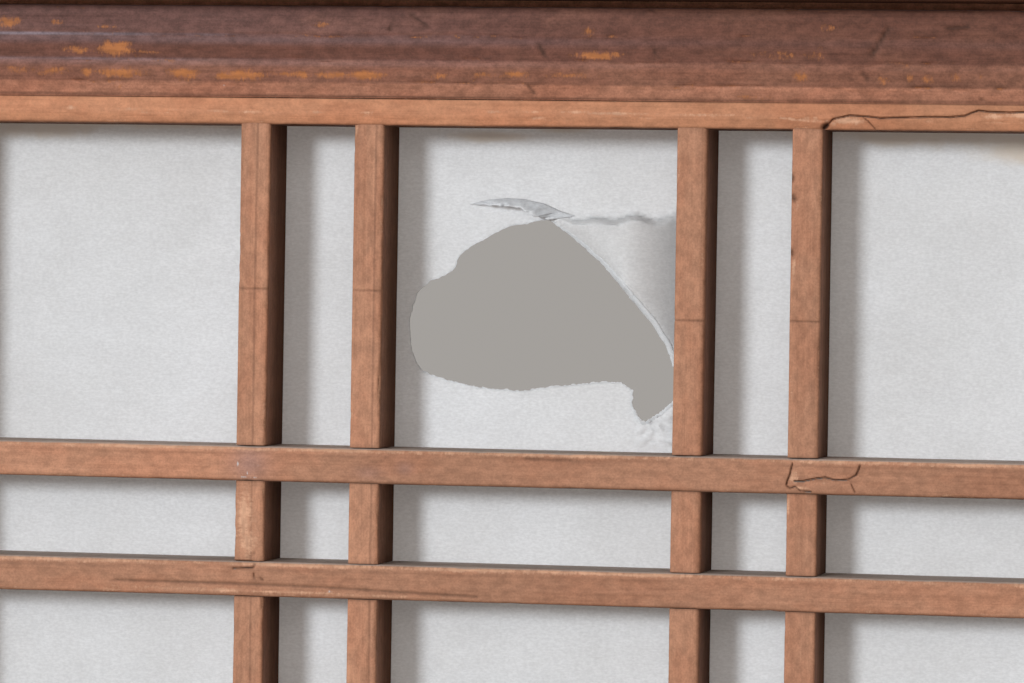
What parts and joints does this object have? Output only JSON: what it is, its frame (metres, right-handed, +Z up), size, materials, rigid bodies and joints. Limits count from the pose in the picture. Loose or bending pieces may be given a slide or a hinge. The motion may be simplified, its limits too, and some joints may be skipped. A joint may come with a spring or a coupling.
{
  "type": "shoji sliding screen",
  "caption": "Sliding paper screen with a paired wooden lattice, its paper torn in one cell, in a grooved opening frame of head, sill and jambs.",
  "frame": {"origin": "middle of the sill's underside", "axes": "+X along the slide towards the open side, +Y from the lattice side to the paper side, +Z up"},
  "size_m": [1.932, 0.056, 1.8168],
  "materials": {
    "lattice_wood": "aged bare softwood, slightly eased edges",
    "strip_wood": "aged bare softwood, lighter",
    "rail_wood": "darkened by handling and dust, worn patches",
    "frame_wood": "dark aged softwood",
    "paper": "fibrous handmade paper, water stained at the top"
  },
  "bodies": {
    "frame": {"head_track": "frame_wood", "sill_track": "frame_wood", "jamb_left": "frame_wood", "jamb_right": "frame_wood"},
    "leaf": {"bottom_rail": "rail_wood", "crossbar_01": "lattice_wood", "crossbar_02": "lattice_wood", "crossbar_03": "lattice_wood", "crossbar_04": "lattice_wood", "crossbar_05": "lattice_wood", "crossbar_06": "lattice_wood", "crossbar_07": "lattice_wood", "crossbar_08": "lattice_wood", "crossbar_09": "lattice_wood", "crossbar_10": "lattice_wood", "crossbar_11": "lattice_wood", "crossbar_12": "lattice_wood", "crossbar_13": "lattice_wood", "crossbar_14": "lattice_wood", "crossbar_15": "lattice_wood", "crossbar_16": "lattice_wood", "crossbar_17": "lattice_wood", "crossbar_18": "lattice_wood", "crossbar_19": "lattice_wood", "crossbar_20": "lattice_wood", "crossbar_21": "lattice_wood", "crossbar_22": "lattice_wood", "paper": "paper", "stile_left": "rail_wood", "stile_right": "rail_wood", "strip_bottom": "strip_wood", "strip_left": "strip_wood", "strip_right": "strip_wood", "strip_top": "strip_wood", "top_rail": "rail_wood", "upright_01": "lattice_wood", "upright_02": "lattice_wood", "upright_03": "lattice_wood", "upright_04": "lattice_wood", "upright_05": "lattice_wood", "upright_06": "lattice_wood", "upright_07": "lattice_wood", "upright_08": "lattice_wood", "upright_09": "lattice_wood", "upright_10": "lattice_wood", "upright_11": "lattice_wood", "upright_12": "lattice_wood"}
  },
  "joints": [
    {"name": "leaf_slide", "type": "slide", "parent": "frame", "child": "leaf", "axis": [1, 0, 0], "range_m": [0, 0.914]}
  ]
}
